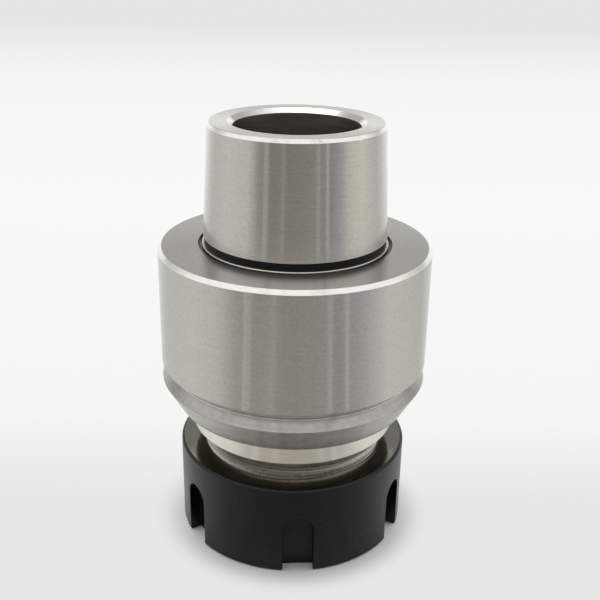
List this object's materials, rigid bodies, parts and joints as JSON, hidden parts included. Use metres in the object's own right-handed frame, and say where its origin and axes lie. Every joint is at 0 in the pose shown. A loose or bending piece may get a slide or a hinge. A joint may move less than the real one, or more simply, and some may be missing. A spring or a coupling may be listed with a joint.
{
  "type": "collet chuck holder",
  "caption": "Tool holder with a hollow taper shank, a grooved collar and a ball-bearing clamping nut that presses a slit spring collet onto a tool's shank.",
  "frame": {"origin": "on the spindle axis in the plane of the clamping nut's front face, which the holder stands on", "axes": "+Z along the spindle axis, from the nut towards the taper shank; -Y towards the spanner slot that is turned 4 degrees towards +X"},
  "size_m": [0.072, 0.072, 0.1137],
  "materials": {
    "ground_steel": "fine turned and ground, bright",
    "black_oxide_steel": "satin black oxide, ground top face",
    "black_screw_steel": "black oxide",
    "hardened_ring_steel": "ground",
    "polished_ball_steel": "polished",
    "ground_spring_steel": "ground"
  },
  "bodies": {
    "holder": {"chuck_body": "ground_steel"},
    "stop_screw": {"stop_screw": "black_screw_steel"},
    "ring_and_collet": {"thrust_ring": "hardened_ring_steel", "spring_collet": "ground_spring_steel"},
    "nut": {"nut_shell": "black_oxide_steel", "ball_fill_plug": "black_screw_steel"},
    "balls": {"bearing_balls": "polished_ball_steel"}
  },
  "joints": [
    {"name": "nut_advance", "type": "slide", "parent": "holder", "child": "ring_and_collet", "axis": [0, 0, 1], "range_m": [-0.0106, 0.0016]},
    {"name": "nut_turn", "type": "hinge", "parent": "ring_and_collet", "child": "nut", "pos_m": [0, 0, 0], "axis": [0, 0, 1], "range_deg": [-2520, 360]},
    {"name": "ball_roll", "type": "hinge", "parent": "ring_and_collet", "child": "balls", "pos_m": [0, 0, 0], "axis": [0, 0, 1], "range_deg": [-1262, 182]},
    {"name": "stop_screw_travel", "type": "slide", "parent": "holder", "child": "stop_screw", "axis": [0, 0, 1], "range_m": [-0.012, 0.003]}
  ],
  "couplings": [
    {"joint": "nut_advance", "follows": "nut_turn", "m_per_rad": 0.00023873},
    {"joint": "ball_roll", "follows": "nut_turn", "ratio": 0.5}
  ]
}
